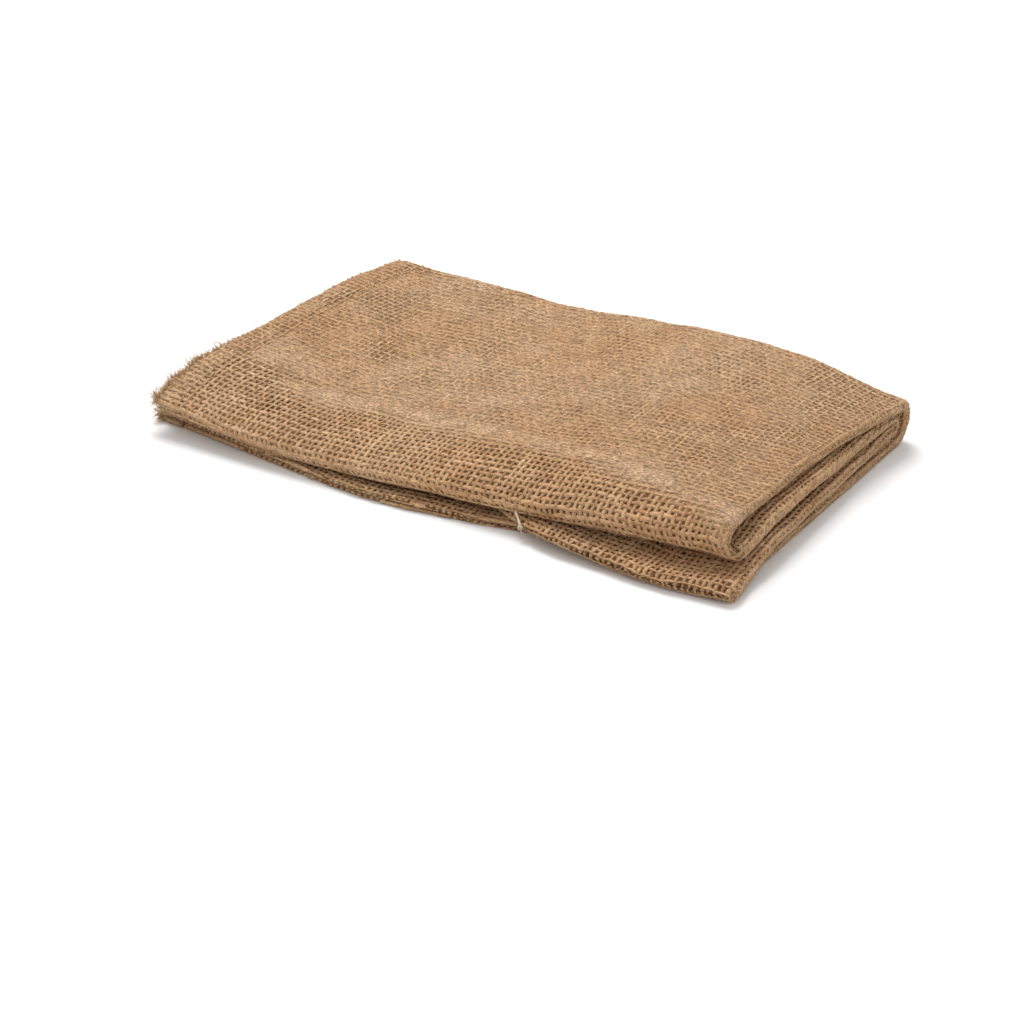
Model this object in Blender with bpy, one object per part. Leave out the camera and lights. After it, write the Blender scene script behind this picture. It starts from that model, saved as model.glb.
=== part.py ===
"""A jute sack, folded in half and in half again and laid down flat.

The sack is one panel of plain-weave jute. It is doubled over along its right side, sewn up along its
left side a little way in from the raw edges, closed at its bottom end and open at its mouth. Folded up,
it lies in four levels of two plies each:

    level one    the top, from the nose (the front fold) to the outer fold at the back
    level two    under it, from the nose to the inner fold at the back
    level three  from the inner fold to the sack's bottom end, at the front
    level four   flat on the ground, from the outer fold to the sack's mouth, at the front

X runs along the nose, Y from front to back, Z up. The folds are worked out in upright sections across
the nose, one for each distance from the raw edge. Lengths are in millimetres until the mesh is made.
"""
import math

import bpy
import numpy as np

MM_TO_M = 0.001

# The sack and its cloth.
SACK_WIDTH = 330.0
PLY = 1.2                # one ply of the cloth
SEAM_ALLOWANCE = 15.0    # from the raw edges to the side seam
SEAM_PINCH = 0.3         # how far the seam draws in each face
RAW_EDGE_THIN = 0.75     # share of the thickness that is left at the raw edges
LIP_HEM = 14.0           # depth of the turned hem at the mouth
LIP_GAP = 0.8            # between the lips
LIP_ROUND = 0.3          # rounding of a lip's edge
HEM_STEP = 2.0           # the hem's thickness is reached in this depth

# The folds.
NOSE_RISE = 44.0         # level two lifts from the nose to its own height in this depth
END_DROOP = 48.0         # level three drops to its end in this depth
END_SWELL_DEPTH = 12.0   # the bottom end's seam makes it swell over about this depth
BACK_BULGE = 9.0         # depth of the outer fold's curve
INNER_BACK = 2.5         # the inner fold starts this far before the outer one
AIR_UNDER_THREE = 0.36   # shares of the free height that lie under levels three and two
AIR_UNDER_TWO = 0.33

# How the cloth of each level is shifted along X, at the front and at the back. Level four's shift at
# its mouth is in SECTIONS.
LEVEL_SHIFTS = {
    "three": (-2.0, -3.0),
    "two": (-7.0, -4.0),
    "one": (-14.0, 0.0),
}
FOUR_SHIFT_AT_BACK = -2.0
ONE_SHIFT_BEND = 2.5     # power of the share of the depth by which level one's shift goes to the back's

# One row for each section, from the raw edge to the right side: where the nose and the outer fold reach
# in Y, the height of the nose's underside, the air in the nose, the slope of the top level behind it in
# degrees, how far behind the nose the top level has its crest, its height there, halfway back and at the
# back, where levels three and four end in Y, the height of level three's end, how far the two plies
# stand apart, one lip's thickness where it is turned over, how far the bottom end swells on each face,
# and the shift of the mouth along X.
SECTION_COLUMNS = ("across", "nose", "back", "nose_low", "nose_air", "slope", "crest_back",
                   "crest", "middle", "back_top", "end_three", "end_four", "end_height", "ply_gap",
                   "lip_ply", "end_swell", "mouth_shift")
SECTIONS = (
    (0.0, -7.5, 209.0, 12.5, 1.0, 16.0, 46.0, 27.5, 29.0, 29.5, 20.0, 3.0, 7.5, 0.4, 2.9, 0.0, -18.0),
    (35.0, -9.0, 214.0, 9.5, 1.0, 18.0, 49.0, 23.5, 24.5, 26.0, 20.0, -1.0, 6.4, 0.4, 2.8, 0.0, -16.5),
    (75.0, -9.0, 218.0, 7.4, 1.2, 20.0, 51.0, 21.0, 21.5, 23.2, 20.0, -5.8, 6.0, 0.5, 2.5, 0.0, -13.0),
    (125.0, -6.0, 219.0, 6.9, 1.2, 22.0, 54.0, 20.5, 20.5, 22.9, 20.0, -11.0, 5.7, 0.6, 2.1, 0.0, -9.0),
    (175.0, -2.0, 217.0, 8.3, 1.4, 24.0, 50.0, 23.2, 24.4, 28.2, 17.0, -6.0, 6.0, 0.7, 1.9, 0.0, -7.0),
    (220.0, 1.0, 213.0, 9.7, 1.8, 28.0, 48.0, 27.0, 28.5, 33.5, -3.0, 4.0, 6.9, 0.9, 1.9, 0.2, -6.0),
    (265.0, 4.0, 206.0, 12.0, 2.6, 36.0, 35.0, 31.0, 32.0, 34.5, -6.5, 22.0, 3.5, 1.3, 1.9, 1.2, -6.0),
    (300.0, 7.0, 203.0, 13.0, 3.0, 46.0, 25.0, 31.2, 31.0, 31.0, -6.0, 28.0, 2.5, 1.9, 1.9, 1.6, -6.0),
    (330.0, 11.0, 200.0, 12.5, 3.0, 62.0, 14.0, 30.5, 28.5, 26.5, -1.0, 30.0, 2.9, 2.4, 1.9, 1.6, -6.0),
)

# Where the cloth is divided: across the sack, along each level as shares of its depth, and round each fold.
ACROSS_STEPS = (0.0, 8.0, SEAM_ALLOWANCE, 23.0, 40.0, 62.0, 88.0, 115.0, 142.0, 169.0, 195.0, 220.0,
                245.0, 268.0, 288.0, 304.0, 317.0)
SEAM_COLUMN = ACROSS_STEPS.index(SEAM_ALLOWANCE)
SIDE_TURNS = (0.0, 30.0, 60.0, 90.0)           # degrees round the right side's fold
END_TURNS = (70.0, 35.0)                       # degrees round the bottom end, from its tip
THREE_STEPS = (0.0, 0.03, 0.07, 0.15, 0.26, 0.42, 0.58, 0.74, 0.88, 0.96)
TWO_STEPS = (0.96, 0.88, 0.74, 0.58, 0.42, 0.26, 0.15, 0.07)
CREST_STEPS = (0.2, 0.42, 0.65, 0.85)          # from the nose to the crest
ONE_STEPS = (0.0, 0.12, 0.26, 0.42, 0.58, 0.74, 0.88)
FOUR_STEPS = (0.93, 0.80, 0.64, 0.48, 0.32, 0.18, 0.07, 0.01)
INNER_FOLD_STEPS = 6
NOSE_STEPS = 7
OUTER_FOLD_STEPS = 10

# Slow ripples of the top level: height, length along X, length along Y and phase. They come in over
# RIPPLE_START behind the crest.
RIPPLE_START = 42.0
RIPPLES = ((0.55, 95.0, 140.0, 0.4), (0.35, 61.0, 57.0, 2.1), (0.25, 37.0, 88.0, 4.0))

# How far the raw edge's yarn ends stand out: a wave along the edge, highest at the front of the folds.
FRAY_AT_FRONT = 6.0
FRAY_BEHIND = 1.5
FRAY_DEPTH = 60.0        # from the front to where they stand out the least
FRAY_WAVE_Y = 23.0
FRAY_WAVE_Z = 31.0

CLOTH_COLOUR = (0.42, 0.27, 0.14, 1.0)


def hermite(t, start, end, start_slope, end_slope):
    """The cubic from start to end with the given slopes, at t from 0 to 1."""
    return ((1 + 2 * t) * (1 - t) ** 2 * start + t * (1 - t) ** 2 * start_slope
            + t * t * (3 - 2 * t) * end + t * t * (t - 1) * end_slope)


def ease(t):
    """0 to 1 with level ends."""
    t = min(max(t, 0.0), 1.0)
    return t * t * (3 - 2 * t)


def mix(start, end, t):
    return start + (end - start) * t


def section_value(name, across):
    """A column of SECTIONS at any distance from the raw edge: a smooth curve through its rows."""
    places = np.array([row[0] for row in SECTIONS])
    values = np.array([row[SECTION_COLUMNS.index(name)] for row in SECTIONS])
    slopes = np.gradient(values, places)
    i = min(int(np.searchsorted(places, across, side="right")) - 1, len(places) - 2)
    span = places[i + 1] - places[i]
    t = (across - places[i]) / span
    return float(hermite(t, values[i], values[i + 1], span * slopes[i], span * slopes[i + 1]))


def ripple(x, y):
    return sum(height * math.sin(2 * math.pi * (x / long_x + y / long_y) + start)
               for height, long_x, long_y, start in RIPPLES)


class Section:
    """The folded cloth in one upright plane, followed from the sack's bottom end to its mouth."""

    def __init__(self, across):
        self.across = across
        for name in SECTION_COLUMNS[1:]:
            setattr(self, name, section_value(name, across))
        self.half = PLY + self.ply_gap / 2
        self.nose_radius = self.half + self.nose_air / 2
        self.nose_centre = self.nose + self.half + self.nose_radius
        self.nose_turn = math.pi - math.radians(self.slope)
        self.crest_y = self.nose + self.crest_back
        self.fold_y = self.back - self.half - BACK_BULGE
        self.inner_y = self.fold_y - INNER_BACK
        self.line = []           # y and z of the middle of the cloth
        self.shifts = []         # its shift along X
        self.halves = []         # half the thickness of the two plies and their gap
        self.gaps = []           # the gap alone
        self.follow_three()
        self.follow_inner_fold()
        self.follow_two()
        self.follow_nose()
        self.follow_one()
        self.follow_outer_fold()
        self.follow_four()

    def add(self, y, z, shift, half=None, gap=None):
        self.line.append((y, z))
        self.shifts.append(shift)
        self.halves.append(half or self.half)
        self.gaps.append(gap or self.ply_gap)

    def top(self, y):
        """Height of the top face behind the crest: a curve through its three heights, with ripples."""
        t = (max(y, self.crest_y) - self.crest_y) / (self.fold_y - self.crest_y)
        curve = ((1 - t) * (1 - 2 * t) * self.crest + 4 * t * (1 - t) * self.middle
                 + t * (2 * t - 1) * self.back_top)
        return curve + ripple(self.across, y) * ease((y - self.crest_y) / RIPPLE_START)

    def one(self, y):
        return self.top(y) - self.half

    def two(self, y):
        air = self.top(y) - 8 * self.half
        high = 5 * self.half + (AIR_UNDER_THREE + AIR_UNDER_TWO) * air
        return mix(self.nose_low + self.half, high, ease((y - self.nose_centre) / NOSE_RISE))

    def three(self, y):
        air = self.top(y) - 8 * self.half
        high = 3 * self.half + AIR_UNDER_THREE * air
        return mix(self.end_height, high, ease((y - self.end_three) / END_DROOP))

    def follow_three(self):
        for t in THREE_STEPS:
            y = mix(self.end_three, self.inner_y, t)
            swell = self.end_swell * math.exp(-((y - self.end_three) / END_SWELL_DEPTH) ** 2)
            self.add(y, self.three(y) + swell, mix(*LEVEL_SHIFTS["three"], t), self.half + swell)

    def follow_inner_fold(self):
        low, high = self.three(self.inner_y), self.two(self.inner_y)
        radius = (high - low) / 2
        for t in np.linspace(0, 1, INNER_FOLD_STEPS + 1):
            y = self.inner_y + radius * math.sin(math.pi * t)
            z = low + radius * (1 - math.cos(math.pi * t))
            self.add(y, z, mix(LEVEL_SHIFTS["three"][1], LEVEL_SHIFTS["two"][1], t))

    def follow_two(self):
        for t in TWO_STEPS:
            y = mix(self.nose_centre, self.inner_y, t)
            self.add(y, self.two(y), mix(*LEVEL_SHIFTS["two"], t))

    def follow_nose(self):
        low = self.nose_low + self.half
        for t in np.linspace(0, 1, NOSE_STEPS + 1):
            y = self.nose_centre - self.nose_radius * math.sin(self.nose_turn * t)
            z = low + self.nose_radius * (1 - math.cos(self.nose_turn * t))
            self.add(y, z, mix(LEVEL_SHIFTS["two"][0], LEVEL_SHIFTS["one"][0], t))

    def follow_one(self):
        """Up the slope behind the nose to the crest, and back along the top."""
        start_y, start_z = self.line[-1]
        run = self.crest_y - start_y
        start_slope = run * math.tan(math.pi - self.nose_turn)
        end_slope = run * (4 * self.middle - 3 * self.crest - self.back_top) / (self.fold_y - self.crest_y)
        for t in CREST_STEPS:
            z = hermite(t, start_z, self.one(self.crest_y), start_slope, end_slope)
            y = start_y + t * run
            self.add(y, z, self.shift_of_one(y))
        for t in ONE_STEPS:
            y = mix(self.crest_y, self.fold_y, t)
            self.add(y, self.one(y), self.shift_of_one(y))

    def shift_of_one(self, y):
        share = max(y - self.nose_centre, 0.0) / (self.fold_y - self.nose_centre)
        return mix(*LEVEL_SHIFTS["one"], share ** ONE_SHIFT_BEND)

    def follow_outer_fold(self):
        low, high = self.half, self.one(self.fold_y)
        radius = (high - low) / 2
        for t in np.linspace(0, 1, OUTER_FOLD_STEPS + 1):
            y = self.fold_y + BACK_BULGE * math.sin(math.pi * t)
            z = high - radius * (1 - math.cos(math.pi * t))
            self.add(y, z, mix(LEVEL_SHIFTS["one"][1], FOUR_SHIFT_AT_BACK, t))

    def follow_four(self):
        """Flat on the ground to the mouth's hem, where the plies are turned over and so thicker."""
        hem_end = self.end_four + LIP_HEM
        for t in FOUR_STEPS:
            self.add(mix(hem_end, self.fold_y, t), self.half, mix(self.mouth_shift, FOUR_SHIFT_AT_BACK, t))
        lip = self.lip_ply + LIP_GAP / 2
        self.add(hem_end - HEM_STEP, lip, self.mouth_shift, lip, LIP_GAP)
        self.add(self.end_four + HEM_STEP, lip, self.mouth_shift, lip, LIP_GAP)
        self.add(self.end_four, lip, self.mouth_shift, lip - LIP_ROUND, LIP_GAP + LIP_ROUND)

    def faces(self, side_turn, inside, share=1.0, drawn_in=0.0):
        """Points of the upper and the lower face of the cloth, a pair for each station along it.

        side_turn is the angle round the right side's fold, and inside asks for the faces between the
        plies. share and drawn_in thin the cloth. The stations of END_TURNS round the bottom end off.
        """
        line = np.array(self.line)
        along = np.gradient(line, axis=0)
        along /= np.linalg.norm(along, axis=1)[:, None]
        radii = np.array(self.gaps) / 2 if inside else np.array(self.halves) * share - drawn_in
        shifts = np.array(self.shifts)

        end_angles = np.radians(END_TURNS)
        line = np.vstack((line[0] - np.outer(radii[0] * np.sin(end_angles), along[0]), line))
        radii = np.concatenate((radii[0] * np.cos(end_angles), radii))
        shifts = np.concatenate((np.full(len(END_TURNS), shifts[0]), shifts))
        along = np.vstack((np.repeat(along[:1], len(END_TURNS), axis=0), along))

        angle = math.radians(side_turn)
        x = self.across - SACK_WIDTH / 2 + shifts + radii * math.sin(angle)
        up = np.column_stack((-along[:, 1], along[:, 0])) * (radii * math.cos(angle))[:, None]
        return np.column_stack((x, line + up)), np.column_stack((x, line - up))


def fray(y, z):
    """How far the raw edge stands out at a point on it."""
    wave = 0.5 + 0.5 * math.sin(2 * math.pi * (y / FRAY_WAVE_Y + z / FRAY_WAVE_Z))
    return mix(FRAY_BEHIND, FRAY_AT_FRONT, ease(1 - y / FRAY_DEPTH)) * wave


def cloth_columns():
    """The outer faces and the faces between the plies, column by column across the sack."""
    outer, inner = [], []
    for column, across in enumerate(ACROSS_STEPS):
        section = Section(across)
        if column == 0:
            faces = section.faces(0.0, False, share=RAW_EDGE_THIN)
            for points in faces:
                points[:, 0] -= [fray(y, z) for x, y, z in points]
            outer.append(faces)
        elif column < SEAM_COLUMN:
            outer.append(section.faces(0.0, False))
        elif column == SEAM_COLUMN:
            # At the seam the space between the plies closes to a line.
            outer.append(section.faces(0.0, False, drawn_in=SEAM_PINCH))
            inner.append(section.faces(SIDE_TURNS[-1], True))
        else:
            outer.append(section.faces(0.0, False))
            inner.append(section.faces(0.0, True))

    side = Section(SACK_WIDTH - Section(SACK_WIDTH).half)
    for side_turn in SIDE_TURNS:
        outer.append(side.faces(side_turn, False))
        inner.append(side.faces(side_turn, True))
    return outer, inner


class Shell:
    """The sack's vertices and triangles."""

    def __init__(self):
        self.vertices = []
        self.triangles = []

    def add_columns(self, columns, shared):
        """Vertex numbers, upper and lower, for each column; a shared column has one point for both."""
        numbers = []
        for column, faces in enumerate(columns):
            rows = []
            for points in faces[:1] if column in shared else faces:
                first = len(self.vertices)
                self.vertices.extend(points.tolist())
                rows.append(list(range(first, first + len(points))))
            numbers.append((rows[0], rows[-1]))
        return numbers

    def add_quad(self, corners, forwards=True):
        """Two triangles, split from the first corner to the third, or one where two corners are one."""
        a, b, c, d = corners if forwards else (corners[2], corners[1], corners[0], corners[3])
        for triangle in ((a, b, c), (a, c, d)):
            if len(set(triangle)) == len(triangle):
                self.triangles.append(triangle)

    def add_skin(self, numbers, outwards):
        """The upper and lower faces of a skin, closed along its first column and at the bottom end."""
        first_upper, first_lower = numbers[0]
        for here in range(len(first_upper) - 1):
            after = here + 1
            for left, right in zip(numbers, numbers[1:]):
                for side, facing in ((0, outwards), (1, not outwards)):
                    corners = (left[side][here], right[side][here], right[side][after], left[side][after])
                    self.add_quad(corners, facing)
            corners = (first_lower[here], first_upper[here], first_upper[after], first_lower[after])
            self.add_quad(corners, outwards)
        for left, right in zip(numbers, numbers[1:]):
            self.add_quad((left[1][0], right[1][0], right[0][0], left[0][0]), outwards)

    def add_mouth(self, outer, inner):
        """The rim at the mouth: solid across the seam allowance, then one strip for each lip."""
        seam = len(outer) - len(inner)
        for left, right in zip(outer[:seam - 1], outer[1:seam]):
            self.add_quad((left[0][-1], right[0][-1], right[1][-1], left[1][-1]))
        left, right, slit_end = outer[seam - 1], outer[seam], inner[0][0][-1]
        self.triangles.append((left[0][-1], right[0][-1], slit_end))
        self.triangles.append((left[0][-1], slit_end, left[1][-1]))
        self.triangles.append((left[1][-1], slit_end, right[1][-1]))
        lips = list(zip(outer[seam:], inner))
        for (left, left_slit), (right, right_slit) in zip(lips, lips[1:]):
            self.add_quad((left[0][-1], right[0][-1], right_slit[0][-1], left_slit[0][-1]))
            self.add_quad((left_slit[1][-1], right_slit[1][-1], right[1][-1], left[1][-1]))


def cloth_material():
    """Plain jute: warm tan, dry and rough."""
    material = bpy.data.materials.new("jute")
    material.use_nodes = True
    shader = material.node_tree.nodes["Principled BSDF"]
    shader.inputs["Base Color"].default_value = CLOTH_COLOUR
    shader.inputs["Roughness"].default_value = 0.95
    shader.inputs["Metallic"].default_value = 0.0
    return material


def build_sack():
    """One closed body: both plies, their seam, their hems and the space between them."""
    outer_columns, inner_columns = cloth_columns()
    shell = Shell()
    outer = shell.add_columns(outer_columns, {len(outer_columns) - 1})
    inner = shell.add_columns(inner_columns, {0, len(inner_columns) - 1})
    shell.add_skin(outer, True)
    shell.add_skin(inner, False)
    shell.add_mouth(outer, inner)

    # The origin is on the ground, under the middle of the folded sack.
    points = np.array(shell.vertices)
    lowest, highest = points.min(axis=0), points.max(axis=0)
    points -= ((lowest[0] + highest[0]) / 2, (lowest[1] + highest[1]) / 2, lowest[2])

    mesh = bpy.data.meshes.new("sack")
    mesh.from_pydata((points * MM_TO_M).tolist(), [], shell.triangles)
    mesh.shade_smooth()
    mesh.materials.append(cloth_material())
    sack = bpy.data.objects.new("sack", mesh)
    bpy.context.scene.collection.objects.link(sack)


for old in list(bpy.data.objects):
    bpy.data.objects.remove(old)
build_sack()
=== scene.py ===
import math
import random
from functools import partial

import bpy
import numpy as np
from mathutils import Matrix, Vector, noise
from mathutils.bvhtree import BVHTree


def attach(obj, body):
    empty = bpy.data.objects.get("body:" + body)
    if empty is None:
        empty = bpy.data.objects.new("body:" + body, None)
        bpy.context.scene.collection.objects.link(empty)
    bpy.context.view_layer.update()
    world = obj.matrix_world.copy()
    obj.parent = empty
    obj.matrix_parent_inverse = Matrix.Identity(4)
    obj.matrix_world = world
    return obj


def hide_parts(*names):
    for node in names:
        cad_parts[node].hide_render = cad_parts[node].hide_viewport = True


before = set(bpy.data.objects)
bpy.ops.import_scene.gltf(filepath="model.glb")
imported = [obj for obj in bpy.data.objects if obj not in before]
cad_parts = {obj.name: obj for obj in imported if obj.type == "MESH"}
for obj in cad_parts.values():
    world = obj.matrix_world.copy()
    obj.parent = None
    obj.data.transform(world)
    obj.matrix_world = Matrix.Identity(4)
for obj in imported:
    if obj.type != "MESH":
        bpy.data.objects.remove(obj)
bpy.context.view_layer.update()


# --- Camera ---------------------------------------------------------------------------------------
# A long lens a little over a metre away. It looks down on the sack from beyond its front right
# corner, so that the nose of the fold runs down to the right.
CAMERA_PLACE = (0.58746, -0.98612, 0.57779)
CAMERA_TURN = math.radians(31.3439)       # to the left of +Y
CAMERA_FALL = math.radians(28.7506)       # below level
CAMERA_ROLL = math.radians(0.6021)
LENS = 83.92

sight = Vector((-math.sin(CAMERA_TURN) * math.cos(CAMERA_FALL),
                math.cos(CAMERA_TURN) * math.cos(CAMERA_FALL), -math.sin(CAMERA_FALL)))
level_right = Vector((math.cos(CAMERA_TURN), math.sin(CAMERA_TURN), 0.0))
level_up = level_right.cross(sight)
camera_right = level_right * math.cos(CAMERA_ROLL) + level_up * math.sin(CAMERA_ROLL)
camera_up = level_up * math.cos(CAMERA_ROLL) - level_right * math.sin(CAMERA_ROLL)
lens_data = bpy.data.cameras.new("camera")
lens_data.sensor_width = 36.0
lens_data.lens = LENS
lens_data.clip_start = 0.05
camera = bpy.data.objects.new("camera", lens_data)
camera.matrix_world = (Matrix.Translation(CAMERA_PLACE)
                       @ Matrix((camera_right, camera_up, -sight)).transposed().to_4x4())
bpy.context.scene.collection.objects.link(camera)
bpy.context.scene.camera = camera


# --- The sack's cloth -----------------------------------------------------------------------------
# One panel of plain-weave jute, doubled over along its right side and sewn up along its left side,
# open at its mouth. It is folded in half twice, so it lies in four levels of two plies: four on the
# ground, three from the inner fold to the sack's bottom end, two, and one on top. Lengths are in mm.
MM = 0.001
SACK_WIDTH = 330.0
PLY = 1.2
SEAM_ALLOWANCE = 15.0
SIDE_SWELL = 0.8         # how far the plies stand out along the right side's fold, in this depth
SIDE_SWELL_DEPTH = 16.0
SEAM_GROOVE = 0.15      # how far the side seam draws each face in, and how wide the groove is
GROOVE_WIDTH = 2.4
HEM_SWELL = 0.55         # how far the seam allowance swells between the seam and the raw edge
RAW_EDGE_THIN = 0.75
RAW_SLIT = 5.0           # depth of the gap between the two plies' raw edges
LIP_HEM = 14.0
LIP_GAP = 0.8
NOSE_RISE = 44.0
END_DROOP = 48.0
END_SWELL_DEPTH = 12.0
BACK_BULGE = 9.0
INNER_BACK = 2.5
AIR_UNDER_THREE = 0.36
AIR_UNDER_TWO = 0.33
LEVEL_SHIFTS = {"three": (-2.0, -3.0), "two": (-7.0, -4.0), "one": (-14.0, 0.0)}
FOUR_SHIFT_AT_BACK = -2.0
ONE_SHIFT_BEND = 2.5
# Places along the cloth are distances from the front of the nose, but near the bottom end and the
# mouth they are held to these, so that crosswise yarns run along those edges.
BOTTOM_AT = -405.0
MOUTH_AT = 438.0
# The middle of the folded sack is over the origin.
MIDDLE = np.array((-11.965, 104.218, 0.0))

# One row for each upright section across the nose, from the raw edge to the right side.
SECTION_COLUMNS = ("across", "nose", "back", "nose_low", "nose_air", "slope", "crest_back",
                   "crest", "middle", "back_top", "end_three", "end_four", "end_height", "ply_gap",
                   "lip_ply", "end_swell", "mouth_shift")
SECTIONS = (
    (0.0, -7.5, 209.0, 12.5, 1.0, 16.0, 46.0, 27.5, 29.0, 29.5, 20.0, 3.0, 7.5, 0.4, 2.9, 0.0, -18.0),
    (35.0, -9.0, 214.0, 9.5, 1.0, 18.0, 49.0, 23.5, 24.5, 26.0, 20.0, -1.0, 6.4, 0.4, 2.8, 0.0, -16.5),
    (75.0, -9.0, 218.0, 7.4, 1.2, 20.0, 51.0, 21.0, 21.5, 23.2, 20.0, -5.8, 6.0, 0.5, 2.5, 0.0, -13.0),
    (125.0, -6.0, 219.0, 6.9, 1.2, 22.0, 54.0, 20.5, 20.5, 22.9, 20.0, -11.0, 5.7, 0.6, 2.1, 0.0, -9.0),
    (175.0, -2.0, 217.0, 8.3, 1.4, 24.0, 50.0, 23.2, 24.4, 28.2, 17.0, -6.0, 6.0, 0.7, 1.9, 0.0, -7.0),
    (220.0, 1.0, 213.0, 9.7, 1.8, 28.0, 48.0, 27.0, 28.5, 33.5, -3.0, 4.0, 6.9, 0.9, 1.9, 0.2, -6.0),
    (265.0, 4.0, 206.0, 12.0, 2.6, 36.0, 35.0, 31.0, 32.0, 34.5, -6.5, 22.0, 3.5, 1.3, 1.9, 1.2, -6.0),
    (300.0, 7.0, 203.0, 13.0, 3.0, 46.0, 25.0, 31.2, 31.0, 31.0, -6.0, 28.0, 2.5, 1.9, 1.9, 1.6, -6.0),
    (330.0, 11.0, 200.0, 12.5, 3.0, 62.0, 14.0, 30.5, 28.5, 26.5, -1.0, 30.0, 2.9, 2.4, 1.9, 1.6, -6.0),
)

# Where the cloth is divided: across it, closely over the hem and the seam, round the right side's fold
# in degrees, and along each level.
HEM_STEPS = (0.0, 2.0, 4.0, 6.0, 8.0, 10.0, 12.0, 13.5, 15.0, 16.5, 18.0, 21.0)
ACROSS_STEPS = HEM_STEPS + tuple(float(x) for x in range(27, 320, 6))
SIDE_TURNS = tuple(float(turn) for turn in range(0, 91, 15))
END_TURNS = (84.0, 58.0, 30.0)
LIP_TURNS = (30.0, 60.0, 90.0, 120.0, 150.0)
THREE_COUNT, TWO_COUNT, ONE_COUNT, FOUR_COUNT = 36, 36, 44, 36
INNER_FOLD_COUNT, NOSE_COUNT, CREST_COUNT, OUTER_FOLD_COUNT = 10, 16, 10, 20

# The top isn't smooth: slow ripples, and small uneven places where the cloth was handled.
RIPPLE_START = 42.0
RIPPLES = ((0.55, 95.0, 140.0, 0.4), (0.35, 61.0, 57.0, 2.1), (0.25, 37.0, 88.0, 4.0))
UNEVEN_TOP = ((0.55, 34.0), (0.25, 13.0))     # height and size of the uneven places
UNEVEN_REST = ((0.25, 25.0), (0.15, 11.0))

# The raw edge stands out in a slow wave, and the most at the front of the folds.
FRAY_AT_FRONT = 6.0
FRAY_BEHIND = 1.5
FRAY_DEPTH = 60.0
FRAY_WAVE_Y = 23.0
FRAY_WAVE_Z = 31.0
CLOTH_SHARE_OF_FRAY = 0.3


def hermite(t, start, end, start_slope, end_slope):
    """The cubic from start to end with the given slopes, at t from 0 to 1."""
    return ((1 + 2 * t) * (1 - t) ** 2 * start + t * (1 - t) ** 2 * start_slope
            + t * t * (3 - 2 * t) * end + t * t * (t - 1) * end_slope)


def ease(t):
    t = min(max(t, 0.0), 1.0)
    return t * t * (3 - 2 * t)


def mix(start, end, t):
    return start + (end - start) * t


def section_value(name, across):
    """A column of SECTIONS at any distance from the raw edge: a smooth curve through its rows."""
    places = np.array([row[0] for row in SECTIONS])
    values = np.array([row[SECTION_COLUMNS.index(name)] for row in SECTIONS])
    slopes = np.gradient(values, places)
    i = min(int(np.searchsorted(places, across, side="right")) - 1, len(places) - 2)
    span = places[i + 1] - places[i]
    t = (across - places[i]) / span
    return float(hermite(t, values[i], values[i + 1], span * slopes[i], span * slopes[i + 1]))


def ripple(x, y):
    return sum(height * math.sin(2 * math.pi * (x / long_x + y / long_y) + start)
               for height, long_x, long_y, start in RIPPLES)


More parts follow.
